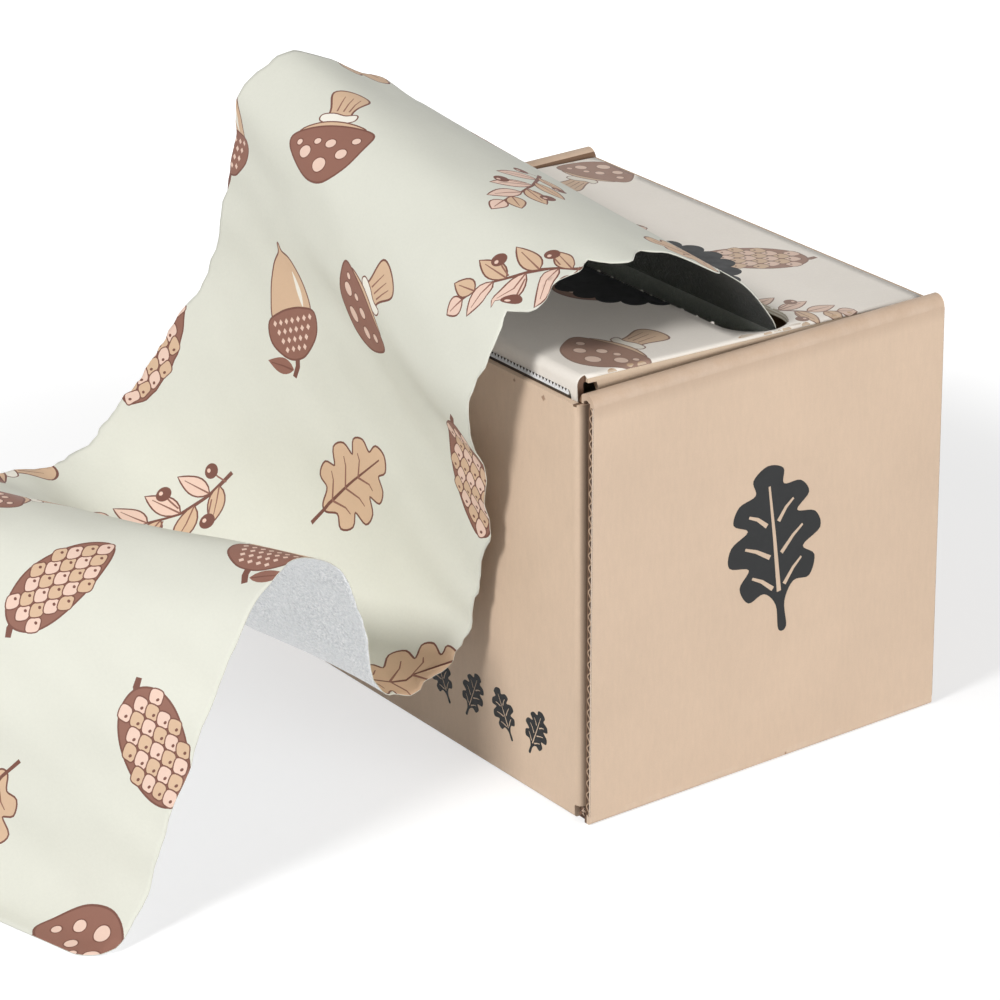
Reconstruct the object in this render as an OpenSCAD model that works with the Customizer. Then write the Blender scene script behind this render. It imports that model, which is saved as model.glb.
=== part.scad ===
// Foil roll in a folded corrugated carton that doubles as its dispenser.
// Millimetres. The carton stands on Z = 0 and its front faces -Y.
// The web of foil leaves the back of the roll, climbs through the slot in the lid,
// arches over the front, makes a U-bend, rises to a hump and runs down to the table.

/* [Foil] */
// Width of the foil web
foil_w = 127; // [90:1:300]
// Thickness that the loose web is modelled with
foil_t = 0.5; // [0.3:0.05:1]
// Outside diameter of the wound roll
roll_d = 96; // [70:1:140]
// Outside diameter of the card core
core_d = 42; // [30:1:60]
// Wall of the card core
core_wall = 2; // [1:0.1:4]
// Slack between the core and the innermost turn
core_play = 0.15; // [0.05:0.05:0.3]
// How far the core stands out of the roll at each end
core_proud = 0.5; // [0.1:0.1:0.8]
// Depth of the small dents along the web's two edges
edge_dent = 1.6; // [0:0.1:2]
// How far the web's edges curl out of its face
edge_curl = 0.7; // [0:0.1:1]

/* [Board] */
// Thickness of the corrugated board
board_t = 1.6; // [1:0.1:3]
// How far a fold at the foot reaches in, more than the board's thickness
crease_over = 0.6; // [0.2:0.1:2]
// Outside radius of the folds at the foot
fold_r = 0.9; // [0.4:0.1:1.5]
// Outside radius of the upright corners, more than the board's thickness
corner_r = 2.4; // [1.9:0.1:5]
// Between an upright corner and the outer panel of the end wall
corner_gap = 1.7; // [0.6:0.1:3]
// Length over which a corner tab slants outwards to lie flat in the end wall
tab_slant = 6; // [3:0.5:12]
// Slack between layers of board in an end wall
layer_gap = 0.3; // [0.15:0.05:0.6]
// Length of the corner tabs inside the end walls
tab_len = 34; // [15:1:45]
// Height of the open notch at the foot of each upright corner
corner_notch = 1.2; // [0.5:0.1:6]
// How far the rolled-over end walls rise above the shut lid
end_rise = 1.5; // [0:0.1:3]
// How far an end panel's front edge stands back at its foot
end_back = 0.3; // [0:0.1:2]
// How much further it stands back at its top
end_lean = 1.4; // [0:0.1:3]
// Width of the tab that locks each end wall into the base
lock_w = 27; // [12:1:50]
// How far the lock tabs sit ahead of the carton's middle
lock_ahead = 6.8; // [0:0.1:15]
// Slack round the lock tabs
lock_play = 0.2; // [0.1:0.05:0.5]

/* [Room round the roll] */
// Between the roll and a dust flap
roll_play = 1.1; // [0.9:0.1:6]
// Between a dust flap and its end wall
flap_play = 0.4; // [0.3:0.1:2]
// Between the roll and the front or back wall
front_room = 4.4; // [2:0.1:20]
// Between the roll and the shut lid
top_room = 8.8; // [6:0.1:30]

/* [Lid] */
// How far the lid stands open
lid_ajar = 2.3; // [0:0.1:4]
// How far the front wall stops below the end walls
front_drop = 1.5; // [1:0.1:4]
// Depth of the front lip
lip_h = 16; // [8:1:30]
// Slack in front of the lip
lip_play = 0.4; // [0.3:0.1:1]
// Depth of the dust flaps
flap_h = 18; // [10:1:30]
// How far the dust flaps start behind the lid's front
flap_set = 4.5; // [4:0.5:30]
// How far the lip stops inside the lid's sides
lip_short = 1.2; // [0.5:0.1:4]
// Slack under the lid's back fold
hinge_play = 0.3; // [0.2:0.1:0.8]
// Width of the slot, front to back
slot_w = 19; // [14:1:30]
// Slot's middle behind the carton's middle
slot_back = 6.4; // [2:0.1:12]
// Slot's length past the foil at each end
slot_end_room = 1.4; // [1.2:0.1:2]
// From the slot's back edge to the web
slot_to_web = 7.1; // [5:0.1:9]

/* [Cutter] */
// Thickness of the steel strip
cutter_t = 0.3; // [0.2:0.05:0.6]
// How far it stops inside the foil's edges
cutter_short = 0.5; // [0:0.5:10]
// Height of its band below the front wall's edge
cutter_grip = 7; // [4:0.5:12]
// How far the band shows above the front wall's edge
cutter_show = 0.8; // [0.4:0.1:2]
// Pitch of the teeth
tooth_pitch = 1.25; // [1:0.05:3]
// Height of the teeth
tooth_h = 1.1; // [0.6:0.1:2]

/* [Hidden] */

crease_r = board_t + crease_over;
wall_t = 3 * board_t + 2 * layer_gap;
roll_over_r = wall_t / 2;

carton_w = foil_w + 2 * (roll_play + board_t + flap_play + wall_t);
carton_d = roll_d + 2 * (front_room + board_t);
carton_h = roll_d + 2 * board_t + top_room;
half_w = carton_w / 2;
half_d = carton_d / 2;
fold_top = carton_h + end_rise - roll_over_r;

front_top = carton_h - front_drop;
hinge_y = half_d - board_t;
hinge_z = carton_h - board_t;
back_top = hinge_z - board_t - hinge_play;

lid_half = half_w - wall_t - flap_play;
lid_len = carton_d - 2 * board_t - cutter_t - lip_play;
lip_slant = asin(lip_h / (2 * lid_len)) + 1;
slot_half = foil_w / 2 + slot_end_room;

roll_z = board_t + roll_d / 2;
web_y = slot_back + slot_w / 2 - slot_to_web;
web_rise = 0.5;
web_z = carton_h + web_rise;

// The loose web, station by station, chosen by eye. Each row has its right edge:
// how far in from the roll's edge, how far ahead of the front wall (negative is
// over the lid), how high; then the turn and the lift of the line to the left edge.
drape = [
    [0, -62.8, 108.5, 0, 0],
    [1.5, -53, 122.5, -3.5, 1],
    [3.5, -36.5, 131, -4.5, 3],
    [5.5, -19, 134.5, -6, 5.5],
    [8.5, -2, 130, -6, 11],
    [13, 10.5, 118, -5.5, 13],
    [17, 15, 101, -7, 13],
    [20, 8.5, 84.5, -3.5, 12.5],
    [23.5, 5.3, 67, 0, 12.5],
    [27.5, 5, 50, 4.5, 14],
    [30, 6.5, 38, 7.5, 15],
    [31.5, 13.5, 28.5, 8, 15.5],
    [31, 25, 26.5, 6.5, 13],
    [29, 34.5, 33.5, 7.5, 8],
    [27, 38.5, 51, 13.5, 2],
    [25.5, 45.5, 67, 18, -2.5],
    [21.5, 61, 75, 18.5, -3.5],
    [16.5, 76, 68.5, 19, 0.5],
    [14, 86.5, 54, 21.5, 4],
    [12, 96, 39, 22, 4],
    [11, 104.5, 23, 20, 3.5],
    [9.5, 111, 10, 18, 2],
    [7, 120, 1.8, 15.5, 0.5],
    [6, 128, 0.5, 14, 0]
];
drape_steps = 4;

// Sizes of the carton that the drape was drawn for, from its row at the slot
drawn_behind = -drape[0][1];
drawn_h = drape[0][2] - web_rise;

// Places across the web where it has points, from the right edge
web_marks = [0, 0.03, 0.08, 0.22, 0.5, 0.78, 0.92, 0.97, 1];

// Smooth curve through the rows b and c, with a and d on either side
function blend_rows(a, b, c, d, u) =
    0.5 * (2 * b + (c - a) * u + (2 * a - 5 * b + 4 * c - d) * u * u
    + (3 * b - a - 3 * c + d) * u * u * u);

function row_at(i) = drape[min(max(i, 0), len(drape) - 1)];

stations = [
    for (i = [0 : len(drape) - 2], k = [0 : drape_steps - 1])
        blend_rows(row_at(i - 1), row_at(i), row_at(i + 1), row_at(i + 2), k / drape_steps),
    row_at(len(drape) - 1)
];
rings = len(stations);
marks = len(web_marks);

// The drape grows and shrinks with the carton
drape_size = carton_h / drawn_h;
function web_ahead(a) =
    a < 0 ? -half_d - a * (web_y + half_d) / drawn_behind : -half_d - a * drape_size;
function web_high(h) =
    h > drawn_h ? web_z + (h - drape[0][2]) * drape_size : h * drape_size;

function right_edge(s) = [foil_w / 2 - s[0] * drape_size, web_ahead(s[1]), web_high(s[2])];
function across(s) = [-cos(s[4]) * cos(s[3]), -cos(s[4]) * sin(s[3]), sin(s[4])];

// Uneven wave along an edge, nothing at the slot and at the end of the web
function wave(i, phase) =
    (0.6 * sin(i * 97 + phase) + 0.4 * sin(i * 41 + 2 * phase))
    * min(1, max(0, i - 8) / 10) * min(1, (rings - 1 - i) / 6);

function near_edge(w) = exp(-pow(min(w, 1 - w) * 14, 2));

function flat_point(i, w) =
    right_edge(stations[i]) + across(stations[i])
    * (foil_w * w + edge_dent * near_edge(w)
    * (w < 0.5 ? 0.5 + 0.5 * wave(i, 20) : -0.5 - 0.5 * wave(i, 150))
    * min(1, max(0, i - 6) / 8));

function unit(v) = v / norm(v);

function face_normal(i, w) =
    unit(cross(across(stations[i]),
        flat_point(min(i + 1, rings - 1), w) - flat_point(max(i - 1, 0), w)));

function web_point(i, w, side) =
    flat_point(i, w) + face_normal(i, w)
    * (side * foil_t / 2 + edge_curl * near_edge(w) * wave(i, w < 0.5 ? 60 : 200));

// Straight lines of the web inside the carton: from the roll's back to the slot
reach = norm([web_y, web_z - roll_z]);
leave_angle = atan2(web_z - roll_z, web_y) - acos((roll_d / 2 - 0.05) / reach);
web_out = [cos(leave_angle), sin(leave_angle)];
web_along = [-sin(leave_angle), cos(leave_angle)];
web_gap = 0.8;

module tray() {
    color([0.85, 0.74, 0.64]) {
        difference() {
            union() {
                base_panel();
                wall_y(-1, front_top);
                wall_y(1, back_top);
                end_wall();
                mirror([1, 0, 0]) end_wall();
            }
            for (side = [-1, 1])
                lock_slot(side);
        }
        for (side = [-1, 1])
            lock_tab(side);
    }
}

module base_panel() {
    translate([-half_w + crease_r, -half_d + crease_r, 0])
        cube([carton_w - 2 * crease_r, carton_d - 2 * crease_r, board_t]);
}

// A pressed fold at the foot, from its middle towards +X and -Y
module fold() {
    inside = crease_r - board_t;
    difference() {
        union() {
            translate([0, -crease_r])
                square([crease_r - fold_r, crease_r]);
            translate([0, fold_r - crease_r])
                square([crease_r, crease_r - fold_r]);
            translate([crease_r - fold_r, fold_r - crease_r])
                circle(r = fold_r, $fn = 48);
        }
        translate([-1, -inside])
            square([1 + inside, 1 + inside]);
    }
}

// A quarter of a bent board, from the corner's middle towards +X and -Y
module bend() {
    intersection() {
        difference() {
            circle(r = corner_r, $fn = 48);
            circle(r = corner_r - board_t, $fn = 48);
        }
        translate([0, -corner_r])
            square(corner_r);
    }
}

// Front or back wall with its creases, and a corner tab at each end
module wall_y(side, top) {
    span = half_w - board_t - corner_gap - corner_r;
    mirror([0, side > 0 ? 1 : 0, 0]) {
        translate([0, -half_d, 0]) {
            translate([-span, 0, crease_r])
                cube([2 * span, board_t, top - crease_r]);
            translate([-span, crease_r, crease_r])
                rotate([90, 0, 90])
                    linear_extrude(2 * span)
                        mirror([1, 0])
                            fold();
        }
        corner_tab(span, top);
        mirror([1, 0, 0])
            corner_tab(span, top);
    }
}

// The board turns the upright corner and runs back inside the end wall
module corner_tab(span, top) {
    foot = crease_r + corner_notch;
    high = min(top, fold_top) - foot;
    x = span + corner_r - board_t;
    y = corner_r - half_d;
    out = corner_gap - layer_gap;
    translate([span, y, foot])
        linear_extrude(high)
            bend();
    intersection() {
        translate([0, 0, foot])
            linear_extrude(high)
                polygon([
                    [x, y], [x + board_t, y], [x + out + board_t, y + tab_slant],
                    [x + out + board_t, y + tab_len], [x + out, y + tab_len],
                    [x + out, y + tab_slant]
                ]);
        translate([x - 1, y, foot])
            rotate([90, 0, 90])
                linear_extrude(out + board_t + 2)
                    polygon([
                        [0, 0], [tab_len - 3, 0], [tab_len, 3], [tab_len, high * 0.8],
                        [tab_len * 0.7, high - 1], [0, high]
                    ]);
    }
}

// Right end wall: up the outside, over the top and down the inside
module end_wall() {
    inner_half = half_d - corner_r - tab_slant - layer_gap;
    roll_front = half_d - end_back - end_lean;
    translate([half_w - board_t, 0, 0])
        rotate([90, 0, 90])
            linear_extrude(board_t)
                polygon([
                    [end_back - half_d, crease_r], [half_d, crease_r],
                    [half_d, fold_top], [-roll_front, fold_top]
                ]);
    translate([half_w - crease_r, half_d, crease_r])
        rotate([90, 0, 0])
            linear_extrude(carton_d - end_back)
                fold();
    translate([half_w - wall_t, -inner_half, board_t])
        cube([board_t, 2 * inner_half, fold_top - board_t]);
    translate([half_w - roll_over_r, half_d, fold_top])
        rotate([90, 0, 0])
            linear_extrude(half_d + roll_front)
                intersection() {
                    difference() {
                        circle(r = roll_over_r, $fn = 48);
                        circle(r = roll_over_r - board_t, $fn = 48);
                    }
                    translate([-roll_over_r, 0])
                        square([wall_t, roll_over_r]);
                }
}

module lock_slot(side) {
    x = half_w - wall_t - lock_play;
    translate([side > 0 ? x : -x - board_t - 2 * lock_play, -lock_ahead - lock_w / 2 - lock_play, -1])
        cube([board_t + 2 * lock_play, lock_w + 2 * lock_play, board_t + 1.01]);
    nick = board_t / 4;
    translate([side > 0 ? half_w - nick : -half_w - 1, -lock_ahead - lock_w / 2, -1])
        cube([1 + nick, lock_w, 1 + crease_r / 2]);
}

module lock_tab(side) {
    x = half_w - wall_t;
    translate([side > 0 ? x : -x - board_t, -lock_ahead - lock_w / 2, lock_play])
        cube([board_t, lock_w, board_t]);
}

// Lid, drawn shut about its back fold and then turned to stand ajar
module lid() {
    color([0.9, 0.87, 0.83])
        translate([0, hinge_y, hinge_z])
            rotate([-lid_ajar, 0, 0]) {
                difference() {
                    intersection() {
                        lid_panel();
                        lid_outline();
                    }
                    lid_slot();
                }
                for (side = [-1, 1])
                    dust_flap(side);
            }
}

// Back fold, panel and front fold in one side profile, and the narrower lip
module lid_panel() {
    translate([-lid_half, 0, 0])
        rotate([90, 0, 90])
            linear_extrude(2 * lid_half) {
                circle(r = board_t, $fn = 48);
                translate([-lid_len + crease_r, 0])
                    square([lid_len - crease_r, board_t]);
            }
    translate([lip_short - lid_half, 0, 0])
        rotate([90, 0, 90])
            linear_extrude(2 * (lid_half - lip_short)) {
                translate([-lid_len + crease_r, board_t - crease_r])
                    intersection() {
                        difference() {
                            circle(r = crease_r, $fn = 48);
                            circle(r = crease_r - board_t, $fn = 48);
                        }
                        translate([-crease_r, 0])
                            square(crease_r);
                    }
                translate([-lid_len, board_t - crease_r])
                    rotate(lip_slant)
                        translate([0, -lip_h])
                            square([board_t, lip_h]);
            }
}

// Rounds the lid's two side folds
module lid_outline() {
    translate([0, hinge_y, 0])
        rotate([90, 0, 0])
            linear_extrude(carton_d + hinge_y) {
                translate([-lid_half, -lip_h - 5])
                    square([2 * lid_half, lip_h + 5]);
                translate([board_t - lid_half, 0])
                    square([2 * (lid_half - board_t), board_t]);
                for (side = [-1, 1])
                    translate([side * (lid_half - board_t), 0])
                        circle(r = board_t, $fn = 48);
            }
}

module lid_slot() {
    centre = slot_back - hinge_y;
    translate([0, centre, -2])
        linear_extrude(board_t + 4) {
            for (side = [-1, 1])
                translate([side * (slot_half - slot_w / 2), 0])
                    circle(d = slot_w, $fn = 64);
            square([2 * slot_half - slot_w, slot_w], center = true);
        }
}

module dust_flap(side) {
    back = 8;
    translate([side > 0 ? lid_half - board_t : -lid_half, 0, 0])
        rotate([90, 0, 90])
            linear_extrude(board_t)
                polygon([
                    [-lid_len + flap_set, 0], [-back, 0],
                    [-back - 3, -flap_h], [-lid_len + flap_set + 8, -flap_h]
                ]);
}

// Saw-toothed steel strip on the inside of the front wall
module cutter() {
    half = foil_w / 2 - cutter_short;
    teeth = floor(2 * half / tooth_pitch);
    start = -teeth * tooth_pitch / 2;
    color([0.72, 0.73, 0.74])
        translate([0, board_t + cutter_t - half_d, front_top])
            rotate([90, 0, 0])
                linear_extrude(cutter_t)
                    polygon(concat(
                        [[-start, -cutter_grip], [start, -cutter_grip], [start, cutter_show]],
                        [for (k = [0 : teeth - 1], up = [0, 1])
                            [start + (k + up / 2) * tooth_pitch, cutter_show + up * tooth_h]],
                        [[-start, cutter_show]]
                    ));
}

// All turns of the roll as one solid, with the web that climbs to the slot
module foil_roll() {
    color([0.87, 0.88, 0.82])
        translate([-foil_w / 2, 0, roll_z])
            rotate([90, 0, 90])
                linear_extrude(foil_w)
                    difference() {
                        union() {
                            circle(d = roll_d, $fn = 180);
                            inner_web();
                        }
                        circle(d = core_d + 2 * core_play, $fn = 120);
                    }
}

module inner_web() {
    start = web_out * (roll_d / 2 - 0.05);
    run = sqrt(pow(reach, 2) - pow(roll_d / 2 - 0.05, 2)) - web_gap;
    polygon([
        start, start + web_along * run,
        start + web_along * run - web_out * foil_t, start - web_out * foil_t
    ]);
}

module core_tube() {
    length = foil_w + 2 * core_proud;
    color([0.7, 0.58, 0.44])
        translate([-length / 2, 0, roll_z])
            rotate([0, 90, 0])
                difference() {
                    cylinder(h = length, d = core_d, $fn = 120);
                    translate([0, 0, -1])
                        cylinder(h = length + 2, d = core_d - 2 * core_wall, $fn = 120);
                }
}

// The loose web is one sheet, kept as two lengths that meet on its second arch
arch_ring = 16 * drape_steps;

module foil_strip() {
    web_length(0, arch_ring);
}

module foil_tail() {
    web_length(arch_ring, rings - 1);
}

// A length of the web: a closed sheet with points on both faces
module web_length(first, last) {
    span = last - first + 1;
    count = span * marks;
    points = [
        for (side = [1, -1], i = [first : last], w = web_marks)
            web_point(i, w, side)
    ];
    faces = concat(
        [for (i = [0 : span - 2], j = [0 : marks - 2]) each quad(i, j, 0, false)],
        [for (i = [0 : span - 2], j = [0 : marks - 2]) each quad(i, j, count, true)],
        [for (i = [0 : span - 2]) each side_quad(i * marks, (i + 1) * marks, count)],
        [for (i = [0 : span - 2])
            each side_quad((i + 2) * marks - 1, (i + 1) * marks - 1, count)],
        [for (j = [0 : marks - 2]) each side_quad(j + 1, j, count)],
        [for (j = [0 : marks - 2])
            each side_quad((span - 1) * marks + j, (span - 1) * marks + j + 1, count)]
    );
    color([0.86, 0.87, 0.81])
        polyhedron(points, faces, convexity = 8);
}

function quad(i, j, offset, flip) =
    let (a = offset + i * marks + j, b = a + 1, c = a + marks + 1, d = a + marks)
    flip ? [[a, b, c], [a, c, d]] : [[a, c, b], [a, d, c]];

function side_quad(a, b, count) = [[a, a + count, b + count], [a, b + count, b]];

tray();
lid();
cutter();
foil_roll();
core_tube();
foil_strip();
foil_tail();
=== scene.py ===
import math
import random
from functools import partial, reduce

import bmesh
import bpy
import numpy as np
from mathutils import Matrix, Vector
from mathutils.geometry import delaunay_2d_cdt


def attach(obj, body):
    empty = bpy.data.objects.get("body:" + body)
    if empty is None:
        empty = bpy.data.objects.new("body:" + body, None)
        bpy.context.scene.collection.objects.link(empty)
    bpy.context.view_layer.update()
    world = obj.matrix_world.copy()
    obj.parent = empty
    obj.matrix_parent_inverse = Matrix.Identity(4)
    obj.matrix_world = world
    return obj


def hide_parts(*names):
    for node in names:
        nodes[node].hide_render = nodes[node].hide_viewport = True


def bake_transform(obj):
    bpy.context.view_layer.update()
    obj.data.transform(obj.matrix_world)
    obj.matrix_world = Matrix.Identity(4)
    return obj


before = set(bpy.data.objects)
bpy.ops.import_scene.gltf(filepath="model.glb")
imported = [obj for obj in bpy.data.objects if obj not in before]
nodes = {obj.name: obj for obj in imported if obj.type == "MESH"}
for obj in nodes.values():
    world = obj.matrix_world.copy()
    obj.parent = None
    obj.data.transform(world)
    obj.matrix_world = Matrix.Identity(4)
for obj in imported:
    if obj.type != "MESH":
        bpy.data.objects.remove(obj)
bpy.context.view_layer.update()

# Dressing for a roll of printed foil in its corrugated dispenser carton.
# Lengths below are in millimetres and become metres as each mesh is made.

MM = 0.001

# The web of foil, and the roll that it leaves
FOIL_WIDE = 127.0
FOIL_THICK = 0.2
ROLL_RADIUS = 48.0
ROLL_HEIGHT = 49.6
ROLL_BORE = 21.15
WEB_RADIUS = ROLL_RADIUS + 0.2
SLOT_WEB = (8.8, 108.5)
WRAP_DEG = 28.0
EDGE_DENT = 1.6
EDGE_POINTS = 5.2
EDGE_CURL = 0.7
VALLEY_SAG = 8.0
VALLEY_RING = 48

# The carton
HALF_WIDE = 72.0
HALF_DEEP = 54.0
BOARD = 1.6
CREASE = 2.2
FOLD_TOP = 106.8
END_BACK = 0.3
END_LEAN = 1.4

# The lid, in its own frame about the back fold: X, distance from the fold
# (negative is forward) and height. HINGE is the fold's place in the carton.
HINGE = (52.4, 106.4)
LID_AJAR = 2.3
LID_HALF = 66.2
LID_LONG = 104.1
LIP_HIGH = 16.0
LIP_SLANT = 5.41
LIP_SHORT = 1.2
SLOT_BACK = -46.0
SLOT_HALF = 64.9
SLOT_WIDE = 19.0
# the painted shadow line on the lip behind the cutter's teeth: from, to and how far out
TEETH_SHADE_LINE = (107.3, 110.0, 61.6)

# In metres, for materials and node trees
END_WALL_IN = 66.5 * MM
TEETH_FOOT = 107.22 * MM
FLUTE_PITCH = 3.1 * MM

# Rows of the loose web, each with its right edge (in from the roll's edge,
# ahead of the front wall, high) and the turn and lift of the line to the left
DRAPE = [
    (0, -62.8, 108.5, 0, 0), (1.5, -53, 122.5, -3.5, 1), (3.5, -36.5, 131, -4.5, 3),
    (5.5, -19, 134.5, -6, 5.5), (8.5, -2, 130, -6, 11), (13, 10.5, 118, -5.5, 13),
    (17, 15, 101, -7, 13), (20, 8.5, 84.5, -3.5, 12.5), (23.5, 5.3, 67, 0, 12.5),
    (27.5, 5, 50, 4.5, 14), (30, 6.5, 38, 7.5, 15), (31.5, 13.5, 28.5, 8, 15.5),
    (31, 25, 26.5, 6.5, 13), (29, 34.5, 33.5, 7.5, 8), (27, 38.5, 51, 13.5, 2),
    (25.5, 45.5, 67, 18, -2.5), (21.5, 61, 75, 18.5, -3.5), (16.5, 76, 68.5, 19, 0.5),
    (14, 86.5, 54, 21.5, 4), (12, 96, 39, 22, 4), (11, 104.5, 23, 20, 3.5),
    (9.5, 111, 10, 18, 2), (7, 120, 1.8, 15.5, 0.5), (6, 128, 0.5, 14, 0),
]


def linear(r, g, b):
    """A colour as a picture shows it, made ready for a shader."""
    return tuple(c / 12.92 if c <= 0.04045 else ((c + 0.055) / 1.055) ** 2.4
                 for c in (r / 255, g / 255, b / 255)) + (1.0,)


INKS = {
    "sage": linear(221, 221, 209),
    "cream_card": linear(238, 231, 221),
    "umber": linear(122, 82, 71),
    "bark": linear(146, 104, 90),
    "tan": linear(216, 184, 154),
    "peach": linear(234, 203, 186),
    "milk": linear(243, 238, 226),
    "charcoal": linear(34, 35, 36),
    # the last ink is a painted shadow, the dark line on the lip behind the cutter's teeth
    "rub_and_shade": linear(84, 76, 70),
}


# ---- node helpers

def put(tree, socket, value):
    """Links or sets one input of a node."""
    if isinstance(value, bpy.types.NodeSocket):
        tree.links.new(value, socket)
    else:
        socket.default_value = value


def add_node(tree, kind, inputs=None, out=0, **settings):
    """Adds a node, fills its inputs by name or number and returns one of its outputs."""
    node = tree.nodes.new(kind)
    for name, value in settings.items():
        setattr(node, name, value)
    for key, value in (inputs or {}).items():
        put(tree, node.inputs[key], value)
    return node.outputs[out] if len(node.outputs) else node


class Graph:
    """A material's node tree with short ways to add and join nodes."""

    def __init__(self, name):
        self.material = bpy.data.materials.new(name)
        self.material.use_nodes = True
        self.tree = self.material.node_tree
        self.tree.nodes.clear()
        self.place = self.node("ShaderNodeTexCoord", out="Object")

    def node(self, kind, inputs=None, out=0, **settings):
        return add_node(self.tree, kind, inputs, out, **settings)

    def math(self, operation, a, b=0.0):
        return self.node("ShaderNodeMath", {0: a, 1: b}, operation=operation)

    def times(self, *values):
        return reduce(lambda a, b: self.math("MULTIPLY", a, b), values)

    def plus(self, *values):
        return reduce(lambda a, b: self.math("ADD", a, b), values)

    def minus(self, a, b):
        return self.math("SUBTRACT", a, b)

    def above(self, value, level):
        return self.math("GREATER_THAN", value, level)

    def below(self, value, level):
        return self.math("LESS_THAN", value, level)

    def within(self, value, low, high):
        return self.times(self.above(value, low), self.below(value, high))

    def most(self, a, b):
        return self.math("MAXIMUM", a, b)

    def absolute(self, value):
        return self.math("ABSOLUTE", value)

    def split(self, vector):
        return self.node("ShaderNodeSeparateXYZ", {0: vector}).node.outputs

    def stretched(self, scale):
        return self.node("ShaderNodeMapping", {"Vector": self.place, "Scale": scale})

    def noise(self, scale, detail, rough, vector=None):
        return self.node("ShaderNodeTexNoise", {"Vector": vector or self.place, "Scale": scale,
                                                "Detail": detail, "Roughness": rough}, "Fac")

    def cells(self, scale):
        return self.node("ShaderNodeTexVoronoi", {"Vector": self.place, "Scale": scale}, "Distance")

    def ramp(self, value, *colours, low=0.3, high=0.7):
        """Colours, as a picture shows them, spread evenly over values from low to high."""
        colour = self.node("ShaderNodeValToRGB", {0: value}, "Color")
        marks = colour.node.color_ramp.elements
        while len(marks) < len(colours):
            marks.new(0.5)
        for k, mark in enumerate(marks):
            mark.position = low + (high - low) * k / (len(marks) - 1)
            mark.color = linear(*colours[k])
        return colour

    def mix(self, share, a, b, kind="MIX"):
        """A blend of two sockets or colours, the colours as a picture shows them."""
        a, b = (linear(*c) if isinstance(c, tuple) else c for c in (a, b))
        return self.node("ShaderNodeMix", {"Factor": share, 6: a, 7: b}, 2, data_type="RGBA", blend_type=kind)

    def shaded(self, colour, shade):
        """The colour made lighter or darker by a share."""
        grey = self.node("ShaderNodeCombineColor", {0: shade, 1: shade, 2: shade})
        return self.mix(1.0, colour, grey, "MULTIPLY")

    def remap(self, value, low, high, to_low=0.0, to_high=1.0):
        return self.node("ShaderNodeMapRange", {0: value, 1: low, 2: high, 3: to_low, 4: to_high})

    def bump(self, height, distance, strength=1.0, normal=None):
        inputs = {"Height": height, "Distance": distance, "Strength": strength}
        if normal is not None:
            inputs["Normal"] = normal
        return self.node("ShaderNodeBump", inputs)

    def finish(self, colour, rough, normal, metal=0.0, shine=None):
        inputs = {"Base Color": colour, "Roughness": rough, "Metallic": metal, "Normal": normal}
        if shine is not None:
            inputs["Specular IOR Level"] = shine
        surface = self.node("ShaderNodeBsdfPrincipled", inputs, "BSDF")
        self.node("ShaderNodeOutputMaterial", {"Surface": surface})
        return self.material


def board_grain(g, colour):
    """Paper mottle and fibres over a printed liner."""
    cloud = g.noise(28, 4, 0.6)
    fibre = g.noise(900, 3, 0.65, g.stretched((1, 1, 0.25)))
    fleck = g.noise(2600, 1, 0.5)
    shade = g.plus(g.remap(cloud, 0.3, 0.7, 0.955, 1.03), g.remap(fibre, 0.3, 0.7, -0.02, 0.02),
                   g.remap(fleck, 0.35, 0.65, -0.012, 0.012))
    return g.shaded(colour, shade), fibre


def washboard(g, along):
    """Height of the faint ribs that the flutes raise in a liner."""
    return g.times(g.math("SINE", g.times(along, 2 * math.pi / FLUTE_PITCH)), 0.5)


# ---- materials, with places in metres

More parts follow.
